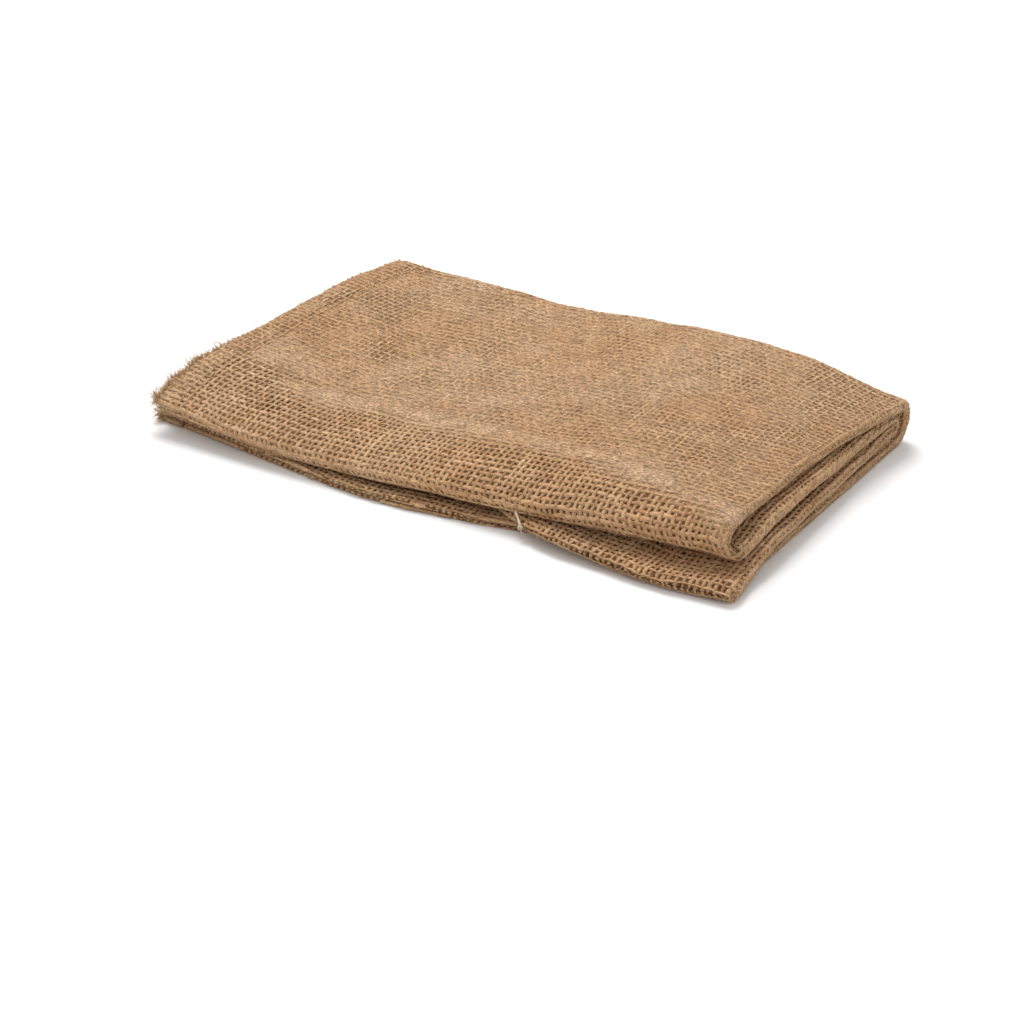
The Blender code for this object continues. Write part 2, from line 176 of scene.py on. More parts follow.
class Section:
    """The folded cloth in one upright plane, followed from the sack's bottom end to its mouth."""

    def __init__(self, across):
        self.across = across
        for name in SECTION_COLUMNS[1:]:
            setattr(self, name, section_value(name, across))
        self.half = PLY + self.ply_gap / 2
        self.nose_radius = self.half + self.nose_air / 2
        self.nose_centre = self.nose + self.half + self.nose_radius
        self.nose_turn = math.pi - math.radians(self.slope)
        self.crest_y = self.nose + self.crest_back
        self.fold_y = self.back - self.half - BACK_BULGE
        self.inner_y = self.fold_y - INNER_BACK
        self.stations = []       # y, z, shift along X, half the thickness, half the gap
        self.levels = []
        self.follow()

    def add(self, level, y, z, shift, half=None, gap=None):
        self.stations.append((y, z, shift, half or self.half, (gap or self.ply_gap) / 2))
        self.levels.append(level)

    def top(self, y):
        t = (max(y, self.crest_y) - self.crest_y) / (self.fold_y - self.crest_y)
        curve = ((1 - t) * (1 - 2 * t) * self.crest + 4 * t * (1 - t) * self.middle
                 + t * (2 * t - 1) * self.back_top)
        return curve + ripple(self.across, y) * ease((y - self.crest_y) / RIPPLE_START)

    def two(self, y):
        air = self.top(y) - 8 * self.half
        high = 5 * self.half + (AIR_UNDER_THREE + AIR_UNDER_TWO) * air
        return mix(self.nose_low + self.half, high, ease((y - self.nose_centre) / NOSE_RISE))

    def three(self, y):
        air = self.top(y) - 8 * self.half
        return mix(self.end_height, 3 * self.half + AIR_UNDER_THREE * air,
                   ease((y - self.end_three) / END_DROOP))

    def shift_of_one(self, y):
        share = max(y - self.nose_centre, 0.0) / (self.fold_y - self.nose_centre)
        return mix(*LEVEL_SHIFTS["one"], share ** ONE_SHIFT_BEND)

    def follow(self):
        for t in np.linspace(0, 0.97, THREE_COUNT):
            y = mix(self.end_three, self.inner_y, t)
            swell = self.end_swell * math.exp(-((y - self.end_three) / END_SWELL_DEPTH) ** 2)
            self.add("three", y, self.three(y) + swell, mix(*LEVEL_SHIFTS["three"], t), self.half + swell)
        low, high = self.three(self.inner_y), self.two(self.inner_y)
        for t in np.linspace(0, 1, INNER_FOLD_COUNT):
            self.add("inner fold", self.inner_y + (high - low) / 2 * math.sin(math.pi * t),
                     mix(low, high, (1 - math.cos(math.pi * t)) / 2),
                     mix(LEVEL_SHIFTS["three"][1], LEVEL_SHIFTS["two"][1], t))
        for t in np.linspace(0.97, 0.03, TWO_COUNT):
            y = mix(self.nose_centre, self.inner_y, t)
            self.add("two", y, self.two(y), mix(*LEVEL_SHIFTS["two"], t))
        for t in np.linspace(0, 1, NOSE_COUNT):
            self.add("nose", self.nose_centre - self.nose_radius * math.sin(self.nose_turn * t),
                     self.nose_low + self.half + self.nose_radius * (1 - math.cos(self.nose_turn * t)),
                     mix(LEVEL_SHIFTS["two"][0], LEVEL_SHIFTS["one"][0], t))

        start_y, start_z = self.stations[-1][:2]
        run = self.crest_y - start_y
        start_slope = run * math.tan(math.pi - self.nose_turn)
        end_slope = run * (4 * self.middle - 3 * self.crest - self.back_top) / (self.fold_y - self.crest_y)
        for t in np.linspace(0, 1, CREST_COUNT + 1)[1:-1]:
            y = start_y + t * run
            z = hermite(t, start_z, self.top(self.crest_y) - self.half, start_slope, end_slope)
            self.add("slope", y, z, self.shift_of_one(y))
        for t in np.linspace(0, 0.98, ONE_COUNT):
            y = mix(self.crest_y, self.fold_y, t)
            self.add("one", y, self.top(y) - self.half, self.shift_of_one(y))
        low, high = self.half, self.top(self.fold_y) - self.half
        for t in np.linspace(0, 1, OUTER_FOLD_COUNT):
            self.add("outer fold", self.fold_y + BACK_BULGE * math.sin(math.pi * t),
                     mix(high, low, (1 - math.cos(math.pi * t)) / 2),
                     mix(LEVEL_SHIFTS["one"][1], FOUR_SHIFT_AT_BACK, t))

        front, back = self.mouth_shift, FOUR_SHIFT_AT_BACK
        hem_end = self.end_four + LIP_HEM
        for t in np.linspace(0.97, 0.01, FOUR_COUNT):
            self.add("four", mix(hem_end, self.fold_y, t), self.half, mix(front, back, t))
        lip = self.lip_ply + LIP_GAP / 2
        for share in (0.85, 0.5, 0.25):
            self.add("lip", self.end_four + LIP_HEM * share, lip, front, lip, LIP_GAP)
        self.add("lip", self.end_four + self.lip_ply / 2, lip, front, lip, LIP_GAP)

    def faces(self, radii, side_turn=0.0, lips=False):
        """Points, normals and places along the cloth for its upper and its lower face.

        With lips, each face turns round its lip at the mouth, and otherwise it only reaches as far."""
        table = np.array(self.stations)
        line, shifts = table[:, :2], table[:, 2]
        along = np.gradient(line, axis=0)
        along /= np.linalg.norm(along, axis=1)[:, None]
        end_angles = np.radians(END_TURNS)
        line = np.vstack((line[0] - np.outer(radii[0] * np.sin(end_angles), along[0]), line))
        radii = np.concatenate((radii[0] * np.cos(end_angles), radii))
        shifts = np.concatenate((np.full(len(END_TURNS), shifts[0]), shifts))
        along = np.vstack((np.repeat(along[:1], len(END_TURNS), axis=0), along))
        angle = math.radians(side_turn)
        x = self.across - SACK_WIDTH / 2 + shifts + radii * math.sin(angle)
        normal = np.column_stack((-along[:, 1], along[:, 0]))
        front = len(END_TURNS) + self.levels.index("nose") + NOSE_COUNT // 2
        two, one, four = (len(END_TURNS) + self.levels.index(level) for level in ("two", "one", "four"))
        rows = np.arange(len(x) + len(LIP_TURNS))
        by_bottom = np.interp(rows, (two, two + TWO_COUNT), (1.0, 0.0))
        by_mouth = np.interp(rows, (one, four + 0.8 * FOUR_COUNT), (0.0, 1.0))
        lip_angles = np.radians(LIP_TURNS)
        reach = self.lip_ply / 2 * np.sin(lip_angles)
        back_in = self.lip_ply / 2 * (1 - np.cos(lip_angles))
        if not lips:
            reach, back_in = reach[-1] * np.arange(1, len(LIP_TURNS) + 1) / len(LIP_TURNS), 0.0 * back_in
        x = np.concatenate((x, x[-1] - back_in * math.sin(angle)))
        results = []
        for side in (1, -1):
            points = line + side * normal * (radii * math.cos(angle))[:, None]
            facings = side * normal * math.cos(angle)
            lip_points = (points[-1] + np.outer(reach, along[-1])
                          - np.outer(back_in, side * normal[-1] * math.cos(angle)))
            lip_facings = (np.outer(np.sin(lip_angles), along[-1])
                           + np.outer(np.cos(lip_angles), facings[-1]))
            points, facings = np.vstack((points, lip_points)), np.vstack((facings, lip_facings))
            steps = np.linalg.norm(np.diff(points, axis=0), axis=1)
            travel = np.concatenate(((0.0,), np.cumsum(steps)))
            places = ((1 - by_bottom - by_mouth) * (travel - travel[front]) + by_bottom * (BOTTOM_AT + travel)
                      + by_mouth * (MOUTH_AT + travel - travel[-1]))
            results.append((np.column_stack((x, points)),
                            np.column_stack((np.full(len(x), math.sin(angle)), facings)), places))
        return results

    def outer_radii(self, share=1.0, drawn_in=0.0):
        return np.array([row[3] for row in self.stations]) * share - drawn_in

    def inner_radii(self):
        return np.array([row[4] for row in self.stations])


def fray(y, z):
    """How far the raw edge's longest yarn ends stand out at a point on it."""
    wave = 0.5 + 0.5 * math.sin(2 * math.pi * (y / FRAY_WAVE_Y + z / FRAY_WAVE_Z))
    return mix(FRAY_BEHIND, FRAY_AT_FRONT, ease(1 - y / FRAY_DEPTH)) * wave


def drawn_in_at(across):
    """How far the seam's groove is drawn in, and the seam allowance and the side's fold less than that."""
    groove = SEAM_GROOVE * math.exp(-((across - SEAM_ALLOWANCE) / GROOVE_WIDTH) ** 2)
    allowance = HEM_SWELL * math.sin(math.pi * min(across / SEAM_ALLOWANCE, 1.0)) ** 1.5
    return groove - allowance - SIDE_SWELL * ease((across - SACK_WIDTH + SIDE_SWELL_DEPTH) / SIDE_SWELL_DEPTH)


def roughened(faces, levels):
    """The faces with small uneven places along their normals."""
    levels = [levels[0]] * len(END_TURNS) + levels + [levels[-1]] * len(LIP_TURNS)
    results = []
    for points, normals, travel in faces:
        moved = points.copy()
        for i, (point, normal, level) in enumerate(zip(points, normals, levels)):
            uneven = UNEVEN_TOP if level in ("slope", "one", "outer fold") else UNEVEN_REST
            calm = min(point[2] / 4.0, 1.0) if level in ("four", "lip") else 1.0
            place = Vector((point[0], travel[i], 0.0))
            moved[i] += normal * calm * sum(high * noise.noise(place / size) for high, size in uneven)
        results.append((moved, normals, travel))
    return results


outer, inner = [], []        # for each column: its faces and how far it is across the cloth
raw_edge = Section(0.0)
slit = Section(RAW_SLIT)
outer.append((slit.faces(slit.inner_radii() * 0.0), RAW_SLIT))
outer.append((raw_edge.faces(raw_edge.inner_radii() * 0.6), 0.0))
for across in ACROSS_STEPS:
    section = Section(across)
    if across == 0.0:
        faces = section.faces(section.outer_radii(share=RAW_EDGE_THIN), lips=True)
    else:
        faces = section.faces(section.outer_radii(drawn_in=drawn_in_at(across)), lips=True)
    outer.append((roughened(faces, section.levels), across))
    if across == SEAM_ALLOWANCE:
        inner.append((section.faces(section.inner_radii() * 0.0), across))
    elif across > SEAM_ALLOWANCE:
        inner.append((section.faces(section.inner_radii()), across))
side = Section(SACK_WIDTH - Section(SACK_WIDTH).half - SIDE_SWELL)
for side_turn in SIDE_TURNS:
    turned = side.across + (side.half + SIDE_SWELL) * math.radians(side_turn)
    side_radii = side.outer_radii(drawn_in=-SIDE_SWELL)
    outer.append((roughened(side.faces(side_radii, side_turn, lips=True), side.levels), turned))
    inner.append((side.faces(side.inner_radii(), side_turn), turned))
for column in (1, 2):
    for points, normals, travel in outer[column][0]:
        points[:, 0] -= [fray(y, z) * CLOTH_SHARE_OF_FRAY for x, y, z in points]

station_levels = [side.levels[0]] * len(END_TURNS) + side.levels + [side.levels[-1]] * len(LIP_TURNS)
crest_station = station_levels.index("one")
half_turn = outer[-1][1]     # to the middle of the side's fold

# How far fluff fills the weave: least in the bare weave in front, by the distance across the cloth,
# more on the top, and most on the crest's felted band, the seam allowance and the side's fold.
BARE_WEAR = ((0.0, 100.0, 200.0, 330.0), (0.26, 0.2, 0.14, 0.1))
TOP_WEAR = ((0.0, 60.0, 110.0, 230.0, 290.0), (0.5, 0.5, 0.53, 0.5, 0.43))
TOP_LENGTH = 196.0       # from the crest, with the distances over which its fluff starts and ends
TOP_START, TOP_END = 12.0, 20.0
FLUFF_PATCHES = 0.2      # how much more or less fluff the top has from patch to patch, and their size
FLUFF_PATCH = 24.0
CREST_BAND = 12.0        # half the width of the felted band, which starts beyond the seam allowance
CREST_START = 60.0       # and comes in over this distance
CREST_PATCH, CREST_SPECK = 11.0, 3.5     # sizes of its patches and of the specks in them
SEAM_ALLOWANCE_WEAR = 0.48
SIDE_FOLD_WEAR, SIDE_FOLD_BAND = 0.5, 2.4
# Places where the weave has opened: across, along from the nose, size and how far.
FLAWS = ((56.0, 28.0, 6.0, 0.3), (258.0, 162.0, 5.0, 0.35), (285.0, 185.0, 4.0, 0.3))
vertices, triangles, cloth_places, worn, facing = [], [], [], [], []


def wear(across, from_crest, from_nose):
    """How far fluff fills the weave, from below 0 at a flaw to 1: most along the crest, least in front."""
    bare = np.interp(across, *BARE_WEAR)
    top = np.interp(across, *TOP_WEAR)
    top *= ease(from_crest / TOP_START) * (1 - ease((from_crest - TOP_LENGTH) / TOP_END))
    uneven = noise.noise(Vector((across, from_nose, 4.0)) / CREST_PATCH)
    ragged = noise.noise(Vector((across, from_nose, 6.0)) / CREST_SPECK)
    crest = math.exp(-abs((from_crest + 2.5 * uneven) / CREST_BAND) ** 1.6)
    crest *= ease((across - SEAM_ALLOWANCE) / CREST_START)
    crest *= 0.82 + 0.3 * uneven + 0.25 * ragged
    seam_allowance = SEAM_ALLOWANCE_WEAR * ease((SEAM_ALLOWANCE - across) / 4.0)
    side_fold = SIDE_FOLD_WEAR * math.exp(-((across - half_turn + 1.0) / SIDE_FOLD_BAND) ** 2)
    top += FLUFF_PATCHES * noise.noise(Vector((across, from_nose, 9.0)) / FLUFF_PATCH) * top / 0.5
    value = max(bare, top, crest, seam_allowance, side_fold)
    for flaw_across, flaw_along, size, depth in FLAWS:
        away = math.hypot(across - flaw_across, (from_nose - flaw_along) / 1.5) / size
        value -= depth * math.exp(-away ** 2)
    return value


def add_columns(columns, shared):
    """Adds the columns' points and gives their numbers; a shared column has one point for both faces."""
    numbers = []
    for column, (faces, across) in enumerate(columns):
        rows = []
        for face, (points, normals, travel) in enumerate(faces[:1] if column in shared else faces):
            first = len(vertices)
            vertices.extend(points.tolist())
            facing.extend(normals.tolist())
            place = 2 * half_turn - across if face else across
            cloth_places.extend((place * MM, distance * MM) for distance in travel)
            worn.extend(wear(across, distance - travel[crest_station], distance) for distance in travel)
            rows.append(list(range(first, first + len(points))))
        numbers.append((rows[0], rows[-1]))
    return numbers


def add_quad(corners, forwards=True):
    a, b, c, d = corners if forwards else (corners[2], corners[1], corners[0], corners[3])
    for triangle in ((a, b, c), (a, c, d)):
        if len(set(triangle)) == len(triangle):
            triangles.append(triangle)


def add_skin(numbers, outwards):
    first_upper, first_lower = numbers[0]
    for here in range(len(first_upper) - 1):
        after = here + 1
        for left, right in zip(numbers, numbers[1:]):
            for face, facing in ((0, outwards), (1, not outwards)):
                add_quad((left[face][here], right[face][here], right[face][after], left[face][after]), facing)
        add_quad((first_lower[here], first_upper[here], first_upper[after], first_lower[after]), outwards)
    for left, right in zip(numbers, numbers[1:]):
        add_quad((left[1][0], right[1][0], right[0][0], left[0][0]), outwards)


outer_numbers = add_columns(outer, {0, len(outer) - 1})
inner_numbers = add_columns(inner, {0, len(inner) - 1})
add_skin(outer_numbers, True)
add_skin(inner_numbers, False)

# The mouth's rim: solid across the seam allowance, then one strip for each lip.
seam = len(outer) - len(inner)
for left, right in zip(outer_numbers[:seam - 1], outer_numbers[1:seam]):
    add_quad((left[0][-1], right[0][-1], right[1][-1], left[1][-1]))
left, right, slit_end = outer_numbers[seam - 1], outer_numbers[seam], inner_numbers[0][0][-1]
triangles.append((left[0][-1], right[0][-1], slit_end))
triangles.append((left[0][-1], slit_end, left[1][-1]))
triangles.append((left[1][-1], slit_end, right[1][-1]))
lips = list(zip(outer_numbers[seam:], inner_numbers))
for (left, left_slit), (right, right_slit) in zip(lips, lips[1:]):
    add_quad((left[0][-1], right[0][-1], right_slit[0][-1], left_slit[0][-1]))
    add_quad((left_slit[1][-1], right_slit[1][-1], right[1][-1], left[1][-1]))

# Where the cloth can be seen, its yarns are modelled one by one in the next section. They lie on this
# skin, which is drawn in there, less where fluff fills the weave, and stands over them where it felts.
BED_BY_WEAR = ((0.08, 0.25, 0.5, 0.7, 0.95), (0.6, 0.42, 0.1, -0.06, -0.3))
LOOK_OUT = 15.0          # a place shows if it has a free way out of this length
LEANS = [Vector(lean) for lean in ((0, 0, 0), (1.2, 0, 0), (-1.2, 0, 0), (0, 1.2, 0), (0, -1.2, 0))]
surface = BVHTree.FromPolygons([Vector(point) for point in vertices], triangles)

# The outer face laid out flat in strips, from the raw edge round the right side to the other raw edge.
strips = [(faces[0], across) for faces, across in outer[2:]]
strips += [(faces[1], 2 * half_turn - across) for faces, across in outer[-2:1:-1]]
strip_rows = np.array([rows[0] for rows in outer_numbers[2:]] + [rows[1] for rows in outer_numbers[-2:1:-1]])


def shows(point, normal):
    point, normal = Vector(point), Vector(normal)
    if point.z < 3.0 and normal.z < -0.5:
        return 0.0
    free = (surface.ray_cast(point + normal * 0.3, (normal + lean).normalized(), LOOK_OUT)[0] is None
            for lean in LEANS)
    return float(any(free))


strips_show = np.array([[shows(vertices[number], facing[number]) for number in rows] for rows in strip_rows])
for _ in range(2):
    strips_show[:, 1:] = np.maximum(strips_show[:, 1:], strips_show[:, :-1])
    strips_show[:, :-1] = np.maximum(strips_show[:, :-1], strips_show[:, 1:])
strips_show[1:] = np.maximum(strips_show[1:], strips_show[:-1])
strips_show[:-1] = np.maximum(strips_show[:-1], strips_show[1:])
strip_u = np.array([across for face, across in strips])
edge_share = np.minimum(1.0, 0.5 + np.minimum(strip_u, 2 * half_turn - strip_u) / 8.0)
beds = edge_share[:, None] * np.interp(np.array(worn)[strip_rows], *BED_BY_WEAR) * strips_show
skin, covered = np.array(vertices), np.zeros(len(vertices))
skin[strip_rows] -= beds[:, :, None] * np.array(facing)[strip_rows]
skin[:, 2] = np.maximum(skin[:, 2], 0.0)
covered[strip_rows] = strips_show


def new_piece(name, points, faces, material):
    """A smooth mesh object at the origin, from points in mm that are centred like the folded sack."""
    mesh = bpy.data.meshes.new(name)
    mesh.from_pydata(((np.array(points) - MIDDLE) * MM).tolist(), [], faces)
    mesh.shade_smooth()
    mesh.materials.append(material)
    piece = bpy.data.objects.new(name, mesh)
    bpy.context.scene.collection.objects.link(piece)
    return piece


def hex_colour(text):
    """An sRGB hex value as linear RGBA."""
    channels = [int(text[i:i + 2], 16) / 255 for i in (1, 3, 5)]
    return tuple(c / 12.92 if c <= 0.04045 else ((c + 0.055) / 1.055) ** 2.4 for c in channels) + (1.0,)


def node(tree, kind, inputs=(), colours=(), **settings):
    """Adds a node: its settings and its ramp's colours, then a value or a link for each of its inputs.

    A kind in capitals is a Math node's operation."""
    if kind.isupper():
        kind, settings = "Math", {**settings, "operation": kind}
    added = tree.nodes.new("ShaderNode" + kind)
    for name, value in settings.items():
        setattr(added, name, value)
    for _ in colours[2:]:
        added.color_ramp.elements.new(0.5)
    for number, (position, colour) in enumerate(colours):
        added.color_ramp.elements[number].position = position
        added.color_ramp.elements[number].color = hex_colour(colour)
    for name, value in inputs.items() if isinstance(inputs, dict) else enumerate(inputs):
        if isinstance(value, bpy.types.Node):
            value = value.outputs[0]
        if isinstance(value, bpy.types.NodeSocket):
            tree.links.new(value, added.inputs[name])
        else:
            added.inputs[name].default_value = value
    return added


def new_material(name):
    """A new material, and node() for its own tree."""
    material = bpy.data.materials.new(name)
    material.use_nodes = True
    return material, partial(node, material.node_tree)


def finish_material(material, values, colour, relief=None):
    """Sets the shader's own values and links its colour and its relief."""
    shader = material.node_tree.nodes["Principled BSDF"]
    for name, value in values.items():
        shader.inputs[name].default_value = value
    material.node_tree.links.new(colour, shader.inputs["Base Color"])
    if relief:
        material.node_tree.links.new(relief.outputs[0], shader.inputs["Normal"])


def lay_out(piece, name, places, **point_values):
    """Gives a piece its UV map, and values at its points by name."""
    piece.data.uv_layers.new(name=name).data.foreach_set("uv", np.array(places).ravel())
    for attribute, values in point_values.items():
        piece.data.attributes.new(attribute, "FLOAT", "POINT").data.foreach_set("value", values)


# Hessian: plain-weave cloth of undyed jute singles, spun thick and thin, so the yarns wander and leave
# holes between them. It is dry and matt, with a soft sheen from its fluff.
hessian, put = new_material("woven_jute_hessian")
PITCH_ACROSS = 3.3 * MM      # from yarn to yarn across the sack, and along it
PITCH_ALONG = 3.9 * MM
YARN_RISE = 0.5 * MM         # a yarn's own roundness
YARN_LIFT = 0.14 * MM        # how far it rises over the yarns it crosses
HOLE_DEPTH = 1.0 * MM
WANDER = 34 * MM             # over this distance the yarns wander by up to about half a pitch
WANDER_PITCHES = 1.6         # how many pitches the shader's noise, mostly 0.3 to 0.7, moves them
# The ground under the modelled yarns is painted shade of the holes: dark where they are open, paler where
# fluff fills them.
SHADED_GROUND_COLOURS = ((0.0, "#583F27"), (0.3, "#906E4C"), (0.6, "#B3967A"), (1.0, "#C6AC92"))
YARN_COLOURS = ((0.0, "#714A29"), (0.3, "#A97F57"), (0.55, "#C99F76"), (0.8, "#DFBA90"), (1.0, "#F3DCB8"))
WARM_TINT = "#F3DFC9"        # the colour drifts towards this tint of itself over this distance
DRIFT = 50 * MM
STREAKS = (1 / (2.0 * MM), 1 / (0.9 * MM), 1 / (0.9 * MM))       # one over a streak's length and width
MATT_JUTE = {"Roughness": 0.95, "Specular IOR Level": 0.2, "Sheen Weight": 0.2, "Sheen Roughness": 0.5,
             "Sheen Tint": hex_colour("#E6CFA8")}


def warmed(colour, place):
    """A colour that is a little warmer and darker in some places than in others."""
    drift = put("TexNoise", {"Vector": place, "Scale": 1 / DRIFT, "Detail": 3.0})
    share = put("MapRange", (drift, 0.35, 0.65, 0.0, 0.5))
    mixed = put("Mix", {0: share, 6: colour, 7: hex_colour(WARM_TINT)}, data_type="RGBA",
                blend_type="MULTIPLY")
    return mixed.outputs[2]


def streaked(colour, place, share, brightest):
    """A colour in the short streaks of felted fibres, where share says that there are any."""
    streak_place = put("Mapping", {0: place, 3: STREAKS})
    streaks = put("TexNoise", {"Vector": streak_place, "Scale": 1.0, "Detail": 3.0})
    tone = put("MapRange", (streaks, 0.36, 0.64, 0.4, brightest))
    mixed = put("Mix", {0: share, 6: colour, 7: tone}, data_type="RGBA", blend_type="MULTIPLY")
    return mixed.outputs[2]


cloth_place = put("UVMap", uv_map="cloth")
split_place = put("SeparateXYZ", (cloth_place,))
wander = put("TexNoise", {"Vector": cloth_place, "Scale": 1 / WANDER, "Detail": 2.0})
split_wander = put("SeparateColor", (wander.outputs["Color"],))
pitches = []
for axis, wandering, pitch in (("X", "Red", PITCH_ACROSS), ("Y", "Green", PITCH_ALONG)):
    in_pitches = put("DIVIDE", (split_place.outputs[axis], pitch))
    pitches.append(put("MULTIPLY_ADD", (split_wander.outputs[wandering], WANDER_PITCHES, in_pitches)))

# Fluff fills the weave in patches: a rubbed place has more of it, and its yarns look wider.
rubbed = put("Attribute", attribute_name="worn")
patches = put("TexNoise", {"Vector": cloth_place, "Scale": 1 / (16 * MM), "Detail": 2.0})
patchy = put("MULTIPLY_ADD", (patches, 0.7, -0.35))
fluff = put("ADD", (patchy, rubbed.outputs["Fac"]), use_clamp=True)


def yarn_set(own, other, side, seed, least_width):
    """Height and tone of one direction's yarns; least_width is their least half width, in pitches."""
    index = put("FLOOR", (own,))
    row = put("MULTIPLY_ADD", (index, 7.31, seed))
    length = put("MULTIPLY", (other, 0.3))
    row_place = put("CombineXYZ", (row, length))
    slub = put("TexNoise", {"Vector": row_place, "Scale": 1.0, "Detail": 3.0})
    split_slub = put("SeparateColor", (slub.outputs["Color"],))
    own_wander = put("SUBTRACT", (split_slub.outputs["Green"], 0.5))
    bare_width = put("MapRange", (split_slub.outputs["Red"], 0.3, 0.7, least_width, least_width + 0.2))
    half_width = put("MULTIPLY_ADD", (fluff, 0.16, bare_width))
    from_start = put("FRACT", (own,))
    from_middle = put("SUBTRACT", (from_start, 0.5))
    moved = put("MULTIPLY_ADD", (own_wander, 0.6, from_middle))
    beside = put("ABSOLUTE", (moved,))
    share = put("DIVIDE", (beside, half_width))
    square = put("MULTIPLY", (share, share))
    left_over = put("SUBTRACT", (1.0, square), use_clamp=True)
    profile = put("SQRT", (left_over,))
    parity = put("PINGPONG", (index, 1.0))
    sign = put("MULTIPLY_ADD", (parity, -2.0 * side, side))
    half_waves = put("MULTIPLY", (other, math.pi))
    wave = put("SINE", (half_waves,))
    signed_wave = put("MULTIPLY", (wave, sign))
    lift = put("MULTIPLY", (signed_wave, YARN_LIFT))
    rise = put("MULTIPLY_ADD", (profile, YARN_RISE, lift))
    beyond = put("MapRange", (share, 1.0, 1.35, 0.0, HOLE_DEPTH))
    height = put("SUBTRACT", (rise, beyond))

    each = put("TexWhiteNoise", {"W": row}, noise_dimensions="1D")
    twist = put("MULTIPLY_ADD", (own, 2.2, other))
    fibre_place = put("CombineXYZ", (twist, length, row))
    fibres = put("TexNoise", {"Vector": fibre_place, "Scale": 2.4, "Detail": 4.0})
    tone = put("MULTIPLY_ADD", (each, 0.22, -0.11))
    slub_tone = put("MULTIPLY_ADD", (split_slub.outputs["Blue"], 0.7, tone))
    full_tone = put("MULTIPLY_ADD", (fibres, 0.7, slub_tone))
    return height, full_tone


lengthwise_height, lengthwise_tone = yarn_set(pitches[0], pitches[1], 1.0, 3.7, 0.2)
crosswise_height, crosswise_tone = yarn_set(pitches[1], pitches[0], -1.0, 91.3, 0.24)
on_top = put("GREATER_THAN", (lengthwise_height, crosswise_height))
woven_height = put("MAXIMUM", (lengthwise_height, crosswise_height))
yarn_tone = put("Mix", {0: on_top, 2: crosswise_tone, 3: lengthwise_tone})
yarn_colour = put("ValToRGB", (yarn_tone,), YARN_COLOURS)

# Between the yarns, shade is painted into the colour, darker the deeper the weave lies. Fluff lies over it in
# short, slanting, paler and darker wisps.
open_share = put("MULTIPLY_ADD", (fluff, -0.75, 1.0))
depth_shade = put("MapRange", (woven_height, 0.45 * MM, -0.4 * MM, 0.0, 1.0), clamp=True)
open_shade = put("MULTIPLY", (depth_shade, open_share))
shaded = put("Mix", {0: open_shade, 6: yarn_colour, 7: hex_colour("#2E1B0A")}, data_type="RGBA")
wisp_place = put("Mapping",
                 {0: cloth_place, 2: (0.0, 0.0, math.radians(14)), 3: (1 / (4.5 * MM), 1 / (0.8 * MM), 1.0)})
wisps = put("TexNoise", {"Vector": wisp_place, "Scale": 1.0, "Detail": 3.0})
wisp_colour = put("Mix", {0: wisps, 6: hex_colour("#6B4C2E"), 7: hex_colour("#C7AB87")}, data_type="RGBA")
fluff_share = put("MULTIPLY", (fluff, 0.7))
fluffed = put("Mix", {0: fluff_share, 6: shaded.outputs[2], 7: wisp_colour.outputs[2]}, data_type="RGBA")

# Under the modelled yarns the ground of the holes is painted shade, with fluff in the rubbed places.
under_yarns = put("Attribute", attribute_name="covered")
shaded_ground = put("ValToRGB", (fluff,), SHADED_GROUND_COLOURS)
wispy_shaded_ground = put("Mix", {0: 0.35, 6: shaded_ground, 7: wisp_colour.outputs[2]}, data_type="RGBA",
                   blend_type="SOFT_LIGHT")
bedded = put("Mix", {0: under_yarns.outputs["Fac"], 6: fluffed.outputs[2], 7: wispy_shaded_ground.outputs[2]},
             data_type="RGBA")

# The colour drifts over a few centimetres, and the seam allowance is a warmer brown.
object_place = put("TexCoord").outputs["Object"]
seam_share = put("MapRange", (split_place.outputs["X"], 20 * MM, 13 * MM, 0.0, 1.0))
drifted = warmed(bedded.outputs[2], object_place)
cloth_colour = put("Mix", {0: seam_share, 6: drifted, 7: hex_colour("#F2E8DA")}, data_type="RGBA",
                   blend_type="MULTIPLY")
# Under the modelled yarns its fibres lie in short streaks over the painted shade.
cloth_colour = streaked(cloth_colour.outputs[2], object_place, under_yarns.outputs["Fac"], 1.5)
open_height = put("MULTIPLY", (woven_height, open_share))
relief = put("Bump", {"Height": open_height, "Strength": 1.0, "Distance": 1.0})
finish_material(hessian, MATT_JUTE, cloth_colour, relief)

jute_cloth = new_piece("jute_cloth", skin, triangles, hessian)
loop_points = np.empty(len(jute_cloth.data.loops), dtype=np.int32)
jute_cloth.data.loops.foreach_get("vertex_index", loop_points)
lay_out(jute_cloth, "cloth", np.array(cloth_places)[loop_points], worn=worn, covered=covered)
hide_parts("sack")
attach(jute_cloth, "root")


# --- The cloth's yarns ------------------------------------------------------------------------------
# Jute singles in plain weave, spun thick and thin from coarse fibre with little twist. Each is a
# flattened strand that passes over and under the yarns that cross it, and they wander and leave holes.
YARN_SINK = 0.3          # how deep a yarn's middle lies in the cloth's face, in mm
YARN_WAVE = 0.2          # how far it rises and dips over the yarns that it crosses
YARN_HALF_HEIGHT = 0.36
FRONT_PROUD = 0.1        # lengthwise yarns stand proud in the bare weave, crosswise ones where rubbed
TABLE_CLEARANCE = 0.05
GRID_COUNT = 640
WANDER_SHARE = 0.8       # of a pitch
WANDER_SEED = 5          # noise_vector follows the clock until it is seeded
OWN_WANDER_SHARE = 0.22
LEAST_SEEN = 0.4         # a yarn is made where at least this share of the skin under it shows
FINE_SIDES, COARSE_SIDES = 5, 4       # round on the nose and up to the crest, seen closest
pitch_u, pitch_v = PITCH_ACROSS / MM, PITCH_ALONG / MM

# The laid-out cloth again, by an even grid along it.
grid_v = np.linspace(BOTTOM_AT, MOUTH_AT, GRID_COUNT)
grid_step = grid_v[1] - grid_v[0]


def gridded(strip_values):
    """One value for each point of each strip, by the even grid."""
    return np.array([np.interp(grid_v, face[2], values)
                     for (face, across), values in zip(strips, strip_values)])


